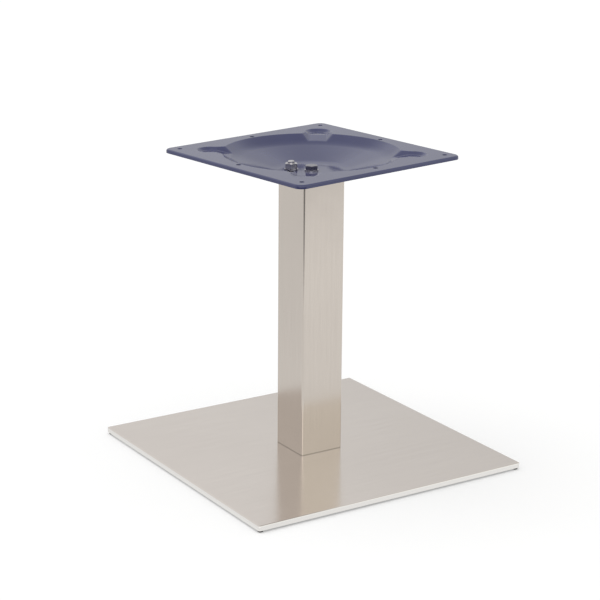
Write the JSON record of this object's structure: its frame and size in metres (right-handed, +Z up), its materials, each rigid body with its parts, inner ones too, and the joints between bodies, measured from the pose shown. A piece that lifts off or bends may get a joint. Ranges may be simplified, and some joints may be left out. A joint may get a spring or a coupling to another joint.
{
  "type": "square lounge table base",
  "caption": "Low square table base: flat brushed stainless foot, square column and a pressed, dished top plate with screw holes.",
  "frame": {"origin": "on the floor, on the column's axis, at the centre of the square base", "axes": "+Z up along the column, X and Y along the base's sides; the front is -Y"},
  "size_m": [0.45, 0.45, 0.46],
  "materials": {
    "brushed_stainless": "brushed along one direction, satin",
    "plate_paint": "dark blue-grey semi-gloss coating",
    "weight_paint": "matt black primer",
    "bare_steel": "mill finish",
    "zinc": "bright zinc plate",
    "glide_plastic": "moulded black nylon"
  },
  "bodies": {
    "root": {"base_cover": "brushed_stainless", "column": "brushed_stainless", "top_plate": "plate_paint", "base_weight": "weight_paint", "foot_plate": "bare_steel", "head_plate": "bare_steel", "centre_bolt": "zinc", "centre_washer": "zinc", "locating_stud": "zinc", "locating_nut": "zinc", "locating_washer": "zinc", "base_screw_front_left": "zinc", "glide_front_left": "glide_plastic", "base_screw_front_right": "zinc", "glide_front_right": "glide_plastic", "base_screw_back_right": "zinc", "glide_back_right": "glide_plastic", "base_screw_back_left": "zinc", "glide_back_left": "glide_plastic"}
  },
  "joints": []
}
